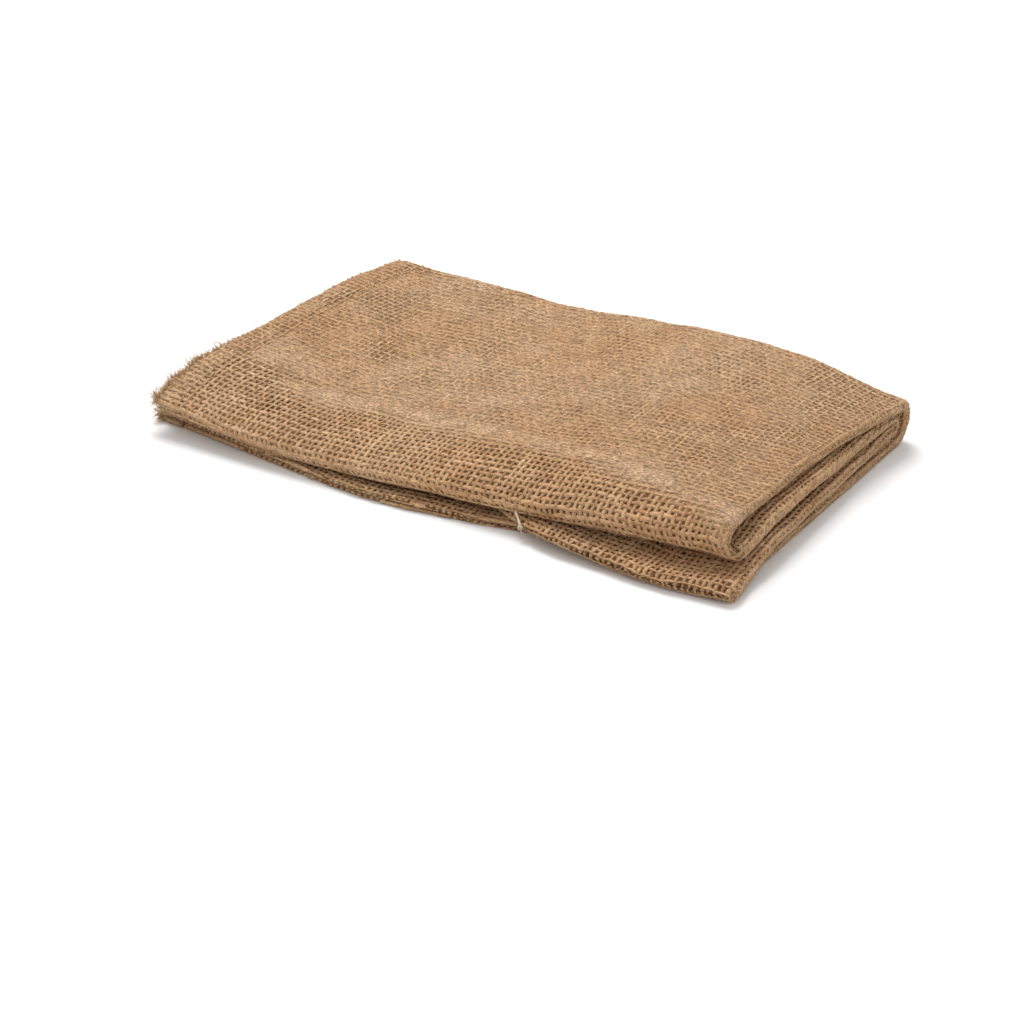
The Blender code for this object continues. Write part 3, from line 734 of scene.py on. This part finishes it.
grid_points, grid_normals = (np.stack([gridded([face[part][:, k] for face, across in strips])
                                       for k in range(3)], axis=1) for part in (0, 1))
grid_worn, grid_shows = gridded(np.array(worn)[strip_rows]), gridded(covered[strip_rows])
in_front = [level in ("nose", "slope") for level in station_levels]
grid_fine = gridded([in_front] * len(strips)) * (strip_u < half_turn)[:, None]


def skin_at(u, v, *grids):
    """Values of grids at places on the laid-out cloth."""
    column = np.clip(np.searchsorted(strip_u, u, side="right") - 1, 0, len(strip_u) - 2)
    row = np.clip(((v - grid_v[0]) / grid_step).astype(int), 0, len(grid_v) - 2)
    s = np.clip((u - strip_u[column]) / (strip_u[column + 1] - strip_u[column]), 0.0, 1.0)
    t = np.clip((v - grid_v[row]) / grid_step, 0.0, 1.0)
    results = []
    for grid in grids:
        corner = grid.transpose(0, 2, 1) if grid.ndim == 3 else grid[:, :, None]
        low = corner[column, row] * (1 - s)[:, None] + corner[column + 1, row] * s[:, None]
        high = corner[column, row + 1] * (1 - s)[:, None] + corner[column + 1, row + 1] * s[:, None]
        results.append(np.squeeze(low * (1 - t)[:, None] + high * t[:, None]))
    return results


noise.seed_set(WANDER_SEED)


def woven_place(a, b):
    """Where the weave's yarns number a across and number b along lie, in mm on the laid-out cloth."""
    u, v = a * pitch_u, b * pitch_v
    wanders = np.array([noise.noise_vector(Vector((x, y, 0.0)) * (MM / WANDER))[:2] for x, y in zip(u, v)])
    return u + wanders[:, 0] * WANDER_SHARE * pitch_u, v + wanders[:, 1] * WANDER_SHARE * pitch_v


class YarnSet:
    """The points, faces and face corners of one piece's yarns."""

    def __init__(self, seed):
        self.chance = random.Random(seed)
        self.seed = seed
        self.points, self.faces, self.corners, self.tones, self.worn = [], [], [], [], []
        self.count = 0

    def add(self, a, b, own, lengthwise, number):
        """One yarn through the places a, b of the weave; own is the place along it, in pitches."""
        u, v = woven_place(a, b)
        wobble = np.array([noise.noise(Vector((x * 0.5, number * 7.3, self.seed))) for x in own])
        slub = np.array([noise.noise(Vector((x * 0.22, number * 3.7, self.seed + 50.0))) for x in own])
        pitch = pitch_u if lengthwise else pitch_v
        if lengthwise:
            u = u + wobble * OWN_WANDER_SHARE * pitch
            inside = np.flatnonzero((v > BOTTOM_AT) & (v < MOUTH_AT))
            v[inside[0] - 1], v[inside[-1] + 1] = BOTTOM_AT, MOUTH_AT
        else:
            v = v + wobble * OWN_WANDER_SHARE * pitch
        points, normals, rubbed, seen, fine = skin_at(u, v, grid_points, grid_normals, grid_worn, grid_shows,
                                                      grid_fine)
        normals = normals / np.linalg.norm(normals, axis=1)[:, None]
        sign = (1.0 if number % 2 else -1.0) * (1.0 if lengthwise else -1.0)
        wave = sign * np.sin(math.pi * own)
        rubbed = np.clip(rubbed, 0.0, 1.0)
        proud = FRONT_PROUD * (1 - 3.2 * np.minimum(rubbed, 0.7)) * (1.0 if lengthwise else -1.0)
        height = YARN_WAVE * wave * (1 - 0.85 * rubbed) + proud - YARN_SINK
        centres = points + normals * height[:, None]
        lump = np.array([noise.noise(Vector((x * 1.3, number * 5.1, self.seed + 90.0))) for x in own])
        bare = (0.3 if lengthwise else 0.29) + 0.15 * slub + 0.12 * lump
        half_widths = pitch * (bare + (0.48 + 0.12 * lump - bare) * np.clip(rubbed / 0.75, 0.0, 1.0))
        tone = self.chance.uniform(-0.08, 0.08)
        seen = (seen > LEAST_SEEN) & (v >= BOTTOM_AT) & (v <= MOUTH_AT)
        start = 0
        while start < len(own):
            if not seen[start]:
                start += 1
                continue
            end = start
            while end < len(own) and seen[end]:
                end += 1
            if end - start > 2:
                sides = FINE_SIDES if fine[start:end].mean() > 0.5 else COARSE_SIDES
                here = slice(start, end)
                self.add_run(centres[here], normals[here], half_widths[here], sides,
                             tone + 0.5 + 0.3 * slub[here], rubbed[here], own[here] * pitch * MM)
            start = end

    def add_run(self, centres, normals, half_widths, sides, tones, rubbed, along):
        """One stretch of a yarn that shows: a closed, flattened tube."""
        ahead = np.gradient(centres, axis=0)
        ahead /= np.linalg.norm(ahead, axis=1)[:, None]
        sideways = np.cross(normals, ahead)
        sideways /= np.linalg.norm(sideways, axis=1)[:, None]
        turns = math.pi / 2 + 2 * math.pi * np.arange(sides) / sides
        rings = (centres[:, None] + sideways[:, None] * (half_widths[:, None] * np.cos(turns))[:, :, None]
                 + normals[:, None] * (YARN_HALF_HEIGHT * np.sin(turns))[None, :, None])
        rings[:, :, 2] = np.maximum(rings[:, :, 2], TABLE_CLEARANCE)
        self.points.append(rings.reshape(-1, 3))
        count = len(centres)
        ring, k = np.meshgrid(np.arange(count - 1), np.arange(sides), indexing="ij")
        here = self.count + ring * sides + k
        there = self.count + ring * sides + (k + 1) % sides
        quads = np.stack((here, there, there + sides, here + sides), axis=-1).reshape(-1, 4)
        self.faces.extend(quads.tolist())
        around = np.stack((k, k + 1, k + 1, k), axis=-1) / sides
        lengths = np.stack((along[ring], along[ring], along[ring + 1], along[ring + 1]), axis=-1)
        self.corners.extend(np.stack((lengths, around), axis=-1).reshape(-1, 2).tolist())
        last = self.count + (count - 1) * sides
        self.faces.append([self.count + k for k in reversed(range(sides))])
        self.faces.append([last + k for k in range(sides)])
        self.corners.extend([(along[0], 0.5)] * sides + [(along[-1], 0.5)] * sides)
        self.tones.extend(np.repeat(tones, sides).tolist())
        self.worn.extend(np.repeat(rubbed, sides).tolist())
        self.count += count * sides


# Undyed jute: silky fibres in a matt yarn, from straw to brown, each yarn in its own tone.
singles, put = new_material("undyed_jute_singles")
YARN_LAY = 0.35              # how far the fibres turn about the yarn, in turns for each 10 mm
yarn_place = put("UVMap", uv_map="yarn")
split_yarn = put("SeparateXYZ", (yarn_place,))
own_tone = put("Attribute", attribute_name="tone")
rubbed = put("Attribute", attribute_name="worn")
turned = put("MULTIPLY_ADD", (split_yarn.outputs["X"], YARN_LAY / (10 * MM), split_yarn.outputs["Y"]))
along_fibres = put("MULTIPLY", (split_yarn.outputs["X"], 1 / (5 * MM)))
across_fibres = put("MULTIPLY", (turned, 9.0))
each_yarn = put("MULTIPLY", (own_tone.outputs["Fac"], 37.0))
fibre_place = put("CombineXYZ", (along_fibres, across_fibres, each_yarn))
fibres = put("TexNoise", {"Vector": fibre_place, "Scale": 1.0, "Detail": 4.0})
fibre_tone = put("MULTIPLY_ADD", (fibres, 0.9, -0.45))
full_tone = put("ADD", (fibre_tone, own_tone.outputs["Fac"]))
yarn_colour = put("ValToRGB", (full_tone,), YARN_COLOURS)
object_place = put("TexCoord").outputs["Object"]
fluff_place = put("Mapping", {0: object_place, 3: (1 / (3.0 * MM), 1 / (0.7 * MM), 1 / (0.7 * MM))})
fluff = put("TexNoise", {"Vector": fluff_place, "Scale": 1.0, "Detail": 3.0})
fluff_colour = put("Mix", {0: fluff, 6: hex_colour("#785B40"), 7: hex_colour("#C8B396")}, data_type="RGBA")
fluff_share = put("MapRange", (rubbed.outputs["Fac"], 0.1, 0.9, 0.15, 0.85))
fluffed = put("Mix", {0: fluff_share, 6: yarn_colour, 7: fluff_colour.outputs[2]}, data_type="RGBA")
felted_colour = put("Mix", {0: fluff, 6: hex_colour("#A98A70"), 7: hex_colour("#D3B89F")}, data_type="RGBA")
felted_share = put("MapRange", (rubbed.outputs["Fac"], 0.5, 1.0, 0.0, 0.85))
felted = put("Mix", {0: felted_share, 6: fluffed.outputs[2], 7: felted_colour.outputs[2]}, data_type="RGBA")
speckle = put("TexNoise", {"Vector": object_place, "Scale": 1 / (0.9 * MM), "Detail": 2.0})
speckle_share = put("MapRange", (speckle, 0.3, 0.7, 0.72, 1.22))
speckled = put("VectorMath", (warmed(felted.outputs[2], object_place), speckle_share), operation="MULTIPLY")
# Where it is rubbed, its fibres lie in short streaks.
yarn_colour = streaked(speckled.outputs[0], object_place, fluff_share, 1.56)
relief = put("Bump", {"Height": fibres, "Strength": 0.9, "Distance": 0.4 * MM})
finish_material(singles, MATT_JUTE, yarn_colour, relief)

lengthwise, crosswise = YarnSet(11), YarnSet(23)
steps_along = np.arange(math.floor(2 * BOTTOM_AT / pitch_v) - 2, math.ceil(2 * MOUTH_AT / pitch_v) + 3) / 2
for number in range(int(2 * half_turn / pitch_u)):
    lengthwise.add(np.full(len(steps_along), number + 0.5), steps_along, steps_along, True, number)
steps_across = np.arange(0, int(4 * half_turn / pitch_u)) / 2
for number in range(math.floor(BOTTOM_AT / pitch_v), math.ceil(MOUTH_AT / pitch_v)):
    crosswise.add(steps_across, np.full(len(steps_across), number + 0.5), steps_across, False, number)
for name, yarns in (("lengthwise_yarns", lengthwise), ("crosswise_yarns", crosswise)):
    piece = new_piece(name, np.concatenate(yarns.points), yarns.faces, singles)
    lay_out(piece, "yarn", yarns.corners, tone=yarns.tones, worn=yarns.worn)
    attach(piece, "root")


# --- Side seam stitches ---------------------------------------------------------------------------
# One row of lockstitch in thick twisted jute thread, 15 mm in from the raw edges and through both
# plies. Each stitch shows on both faces and dips into the cloth at its ends.
STITCH = 8.6             # from stitch to stitch, and how much of it lies on the face
STITCH_SHOWS = 7.0
THREAD_RADIUS = 0.55


def frame_along(points):
    """Two directions square to a strand at each of its points, without twist."""
    frames, across = [], Vector((0.31, 0.17, 0.93))
    for i in range(len(points)):
        ahead = (points[min(i + 1, len(points) - 1)] - points[max(i - 1, 0)]).normalized()
        across = (across - ahead * across.dot(ahead)).normalized()
        frames.append((across, ahead.cross(across)))
    return frames


def add_strand(points, radii, sides, strand_vertices, strand_faces):
    """A closed round strand along points, with a radius for each."""
    first = len(strand_vertices)
    for point, radius, (across, up) in zip(points, radii, frame_along(points)):
        for k in range(sides):
            turn = 2 * math.pi * k / sides
            strand_vertices.append(point + (across * math.cos(turn) + up * math.sin(turn)) * radius)
    for ring in range(len(points) - 1):
        for k in range(sides):
            here, there = first + ring * sides + k, first + ring * sides + (k + 1) % sides
            strand_faces.append((here, there, there + sides, here + sides))
    strand_faces.append(tuple(first + k for k in reversed(range(sides))))
    last = first + (len(points) - 1) * sides
    strand_faces.append(tuple(last + k for k in range(sides)))


def strand_material(name, tones, grain, detail, roughness, specular, relief=None, tone_range=None):
    """Fibres in two tones, in a grain of a size in mm; relief is its strength and its depth in mm."""
    material, put = new_material(name)
    place = put("TexCoord").outputs["Object"]
    fibres = put("TexNoise", {"Vector": place, "Scale": 1 / (grain * MM), "Detail": detail})
    share = put("MapRange", (fibres, *tone_range)) if tone_range else fibres
    colour = put("Mix", {0: share, 6: hex_colour(tones[0]), 7: hex_colour(tones[1])}, data_type="RGBA")
    if relief:
        relief = put("Bump", {"Height": fibres, "Strength": relief[0], "Distance": relief[1] * MM})
    finish_material(material, {"Roughness": roughness, "Specular IOR Level": specular}, colour.outputs[2],
                    relief)
    return material


def point_on(face, travel):
    """The point and normal of a column's face at a distance along the cloth."""
    points, normals, distances = face
    place = Vector([float(np.interp(travel, distances, points[:, k])) for k in range(3)])
    normal = Vector([float(np.interp(travel, distances, normals[:, k])) for k in range(3)])
    return place, normal.normalized()


# Twisted jute thread: paler and smoother than the cloth's yarns. Its twist is left out.
thread = strand_material("twisted_jute_thread", ("#8A6642", "#D9B78C"), grain=1.1, detail=4.0,
                         roughness=0.9, specular=0.2, relief=(0.6, 0.3))


def above_table(path, radius):
    return [Vector((point.x, point.y, max(point.z, radius + TABLE_CLEARANCE))) for point in path]


chance = random.Random(41)
stitch_vertices, stitch_faces = [], []
seam_faces = outer[seam][0]
for face in seam_faces:
    travel = face[2][len(END_TURNS)] + STITCH / 2
    while travel < face[2][-1] - STITCH / 2:
        path, radii = [], []
        sideways = chance.uniform(-0.5, 0.5)
        for t in np.linspace(-1, 1, 7):
            place, normal = point_on(face, travel + t * STITCH_SHOWS / 2)
            height = 0.3 - 1.1 * abs(t) ** 3
            path.append(place + normal * height + Vector((sideways * t, 0, 0)))
            radii.append(THREAD_RADIUS * (1 - 0.25 * t * t))
        add_strand(above_table(path, THREAD_RADIUS), radii, 6, stitch_vertices, stitch_faces)
        travel += STITCH * chance.uniform(0.92, 1.08)
seam_stitches = new_piece("seam_stitches", stitch_vertices, stitch_faces, thread)
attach(seam_stitches, "root")


# --- Frayed yarn ends -----------------------------------------------------------------------------
# The crosswise yarns end at the raw edges of both plies. Each has come untwisted into three strands
# with curly loose fibres, longest and most at the front of the folds, where they stick out. One yarn
# has been pulled out into a small loop.
STRANDS = 3
FRONT_WISPS, BACK_WISPS = 26, 6          # loose fibres on a strand
FRONT_REACH, BACK_REACH = 5.2, 0.9
BRUSHES_DEPTH = 75.0     # how far back the long brushes reach
LOOP_PLACE = Vector((-181.5, 49.0, 26.2))
chance = random.Random(7)
tuft_vertices, tuft_faces = [], []
yarn_numbers = np.arange(math.floor(BOTTOM_AT / pitch_v), math.ceil(MOUTH_AT / pitch_v)) + 0.5
for face, at_edge, strip in ((outer[2][0][0], 0.0, 0), (outer[2][0][1], 2 * half_turn / pitch_u, -1)):
    for travel in woven_place(np.full(len(yarn_numbers), at_edge), yarn_numbers)[1]:
        shown = np.interp(travel, grid_v, grid_shows[strip]) > 0.02
        if not shown or not face[2][0] < travel < face[2][-1]:
            continue
        place, normal = point_on(face, travel)
        front = ease(1.15 - place.y / BRUSHES_DEPTH)
        reach = mix(BACK_REACH, FRONT_REACH, front) * chance.uniform(0.8, 1.1)
        for _ in range(STRANDS):
            heading = Vector((-1.0, chance.gauss(0.0, 0.28), chance.gauss(0.0, 0.28))).normalized()
            start = place - normal * 0.45 + Vector((1.5, chance.uniform(-0.9, 0.9), 0.0))
            bend = Vector((0.0, chance.uniform(-0.3, 0.3), chance.uniform(-0.4, 0.15)))
            length = 1.5 + reach * chance.uniform(0.25, 0.6)
            path = [start + heading * length * t + bend * reach * t * t for t in (0.0, 0.45, 0.8, 1.0)]
            add_strand(above_table(path, 0.6), (0.5, 0.6, 0.5, 0.35), 4, tuft_vertices, tuft_faces)
            for _ in range(round(mix(BACK_WISPS, FRONT_WISPS, front))):
                spread = Vector((chance.gauss(-0.1, 0.5), chance.gauss(0.0, 0.9), chance.gauss(0.1, 0.8)))
                curl = Vector((chance.gauss(0.0, 0.6), chance.gauss(0.0, 0.6), chance.gauss(0.0, 0.6)))
                length = 0.4 + reach * chance.uniform(0.15, 0.5)
                root = path[0].lerp(path[3], chance.random() ** 0.6)
                wisp = [root + (heading * 0.6 * t + spread * t + curl * t * t) * length
                        for t in (0.0, 0.5, 1.0)]
                add_strand(above_table(wisp, 0.2), (0.13, 0.12, 0.05), 3, tuft_vertices, tuft_faces)
loop_path = [LOOP_PLACE + Vector((-3.4 * math.sin(t), 1.6 * (1 - math.cos(t)),
                                  1.3 * math.sin(t) + 0.5 * (1 - math.cos(t))))
             for t in np.linspace(0, math.pi * 1.15, 11)]
add_strand(loop_path, [0.28] * 11, 5, tuft_vertices, tuft_faces)
# Combed-out jute: loose silky fibre, a little paler than the yarns.
combed = strand_material("combed_out_jute", ("#A27A50", "#E2C298"), grain=1.6, detail=3.0,
                         roughness=0.9, specular=0.2, tone_range=(0.3, 0.7))
frayed_ends = new_piece("frayed_yarn_ends", tuft_vertices, tuft_faces, combed)
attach(frayed_ends, "root")


# --- Stray fibres ---------------------------------------------------------------------------------
# Single jute fibres that stand out of the yarns all over and make the outline soft: stiff and pale.
# They are drawn 0.2 mm thick, coarser than real ones, so that they show. Each starts in the cloth,
# leans over and curls.
FIBRES = 13500
TRIES = 12               # starts for each fibre, as most lie where nothing can stand out
FIBRE_RADIUS = 0.1
FELT = 0.55              # where the weave is filled beyond this, it is felted, with short flat fibres
BARE_FUZZ = 0.25         # how thickly they stand on bare cloth, and how much more where it is felted
CREST_FUZZ = 25.0
FIBRE_CLEARANCE = 5.0    # a fibre starts only where the cloth is open to the air this far

# Single jute fibres: pale, and smoother than a yarn.
fibre_stuff = strand_material("jute_fibre", ("#A5815E", "#E0C5A2"), grain=6.0, detail=1.0,
                              roughness=0.7, specular=0.3)

chance = random.Random(19)
corners = np.array(vertices)[np.array(triangles)]
areas = np.linalg.norm(np.cross(corners[:, 1] - corners[:, 0], corners[:, 2] - corners[:, 0]), axis=1)
rubbed_share = np.array(worn)[np.array(triangles)].mean(axis=1)
fuzz = BARE_FUZZ + rubbed_share + CREST_FUZZ * np.clip(rubbed_share - FELT, 0, 1)
tries = chance.choices(range(len(triangles)), weights=areas * fuzz, k=FIBRES * TRIES)
fibre_vertices, fibre_faces, made = [], [], 0
for number in tries:
    a, b, c = (Vector(corner) for corner in corners[number])
    normal = (b - a).cross(c - a).normalized()
    p, q = chance.random(), chance.random()
    if p + q > 1:
        p, q = 1 - p, 1 - q
    start = a + (b - a) * p + (c - a) * q
    open_air = surface.ray_cast(start + normal * 0.05, normal, FIBRE_CLEARANCE)[0] is None
    if not open_air or (start.z < 3.0 and normal.z < -0.3):
        continue
    felt = rubbed_share[number] > FELT
    flat = Vector((chance.gauss(0, 1), chance.gauss(0, 1), chance.gauss(0, 1))).cross(normal).normalized()
    curl = flat.cross(normal) * chance.uniform(-0.9, 0.9)
    length = chance.uniform(1.2, 3.6) if felt else chance.uniform(1.5, 5.0)
    rise = chance.uniform(0.1, 0.45 if felt else 0.7) ** 1.5
    path = [start + (flat * t + normal * (rise * t - 0.3 * rise * t * t) + curl * t * t * 0.6) * length
            for t in (0.0, 0.5, 1.0)]
    if min(point.z for point in path) < 0.1:
        continue
    add_strand(path, (FIBRE_RADIUS, FIBRE_RADIUS, FIBRE_RADIUS * 0.4), 3, fibre_vertices, fibre_faces)
    made += 1
    if made == FIBRES:
        break
stray_fibres = new_piece("stray_fibres", fibre_vertices, fibre_faces, fibre_stuff)
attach(stray_fibres, "root")


# --- Loose threads --------------------------------------------------------------------------------
# The cut end of an undyed cotton sewing thread, off-white and matt, which hangs from the nose of the
# fold as a small brush.
cotton = strand_material("off_white_cotton_thread", ("#BFA98C", "#EEE3D0"), grain=0.9, detail=3.0,
                         roughness=0.85, specular=0.25, relief=(0.5, 0.2))

chance = random.Random(3)
thread_vertices, thread_faces = [], []
tag_path = [Vector(point) for point in ((39.0, 2.6, 12.5), (40.5, 0.2, 11.2), (42.8, -1.6, 9.8),
                                        (44.6, -3.2, 8.6), (46.0, -4.6, 7.6))]
add_strand(tag_path, (0.5, 0.55, 0.5, 0.6, 0.7), 7, thread_vertices, thread_faces)
for _ in range(14):
    spread = Vector((chance.uniform(-1.6, 2.6), chance.uniform(-2.4, 0.6), chance.uniform(-3.2, 0.8)))
    wisp = [tag_path[-2].lerp(tag_path[-1], 0.5) + spread * t + Vector((0.9, -0.7, -0.6)) * t
            for t in (0.0, 0.4, 0.8, 1.1)]
    add_strand(wisp, (0.3, 0.26, 0.2, 0.08), 4, thread_vertices, thread_faces)
loose_threads = new_piece("loose_threads", thread_vertices, thread_faces, cotton)
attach(loose_threads, "root")


# --- Floor and light ------------------------------------------------------------------------------
# A white table that runs out of sight, a broad soft lamp above the sack's back left, and white walls
# all round that fill the shadows. The table's matt paint has no grain that would show from here.
LAMP_PLACE = Vector((-0.7, 0.7, 1.6))
floor_paint = new_material("matt_white_table")[0]
floor_shader = floor_paint.node_tree.nodes["Principled BSDF"]
floor_shader.inputs["Base Color"].default_value = hex_colour("#F6F6F6")
floor_shader.inputs["Roughness"].default_value = 0.9
floor_shader.inputs["Specular IOR Level"].default_value = 0.0
bpy.ops.mesh.primitive_plane_add(size=12.0, location=(0.0, 0.0, 0.0))
floor = bpy.context.object
floor.name = "table_top"
floor.data.materials.append(floor_paint)

walls = bpy.data.worlds.new("white_walls")
walls.use_nodes = True
walls.node_tree.nodes["Background"].inputs["Color"].default_value = (1.0, 1.0, 1.0, 1.0)
walls.node_tree.nodes["Background"].inputs["Strength"].default_value = 0.75
bpy.context.scene.world = walls
lamp_data = bpy.data.lights.new("soft_lamp", "AREA")
lamp_data.shape = "DISK"
lamp_data.size = 1.2
lamp_data.energy = 30.0
lamp = bpy.data.objects.new("soft_lamp", lamp_data)
lamp.matrix_world = (Matrix.Translation(LAMP_PLACE)
                     @ LAMP_PLACE.to_track_quat("Z", "Y").to_matrix().to_4x4())
bpy.context.scene.collection.objects.link(lamp)
bpy.context.scene.view_settings.view_transform = "Standard"
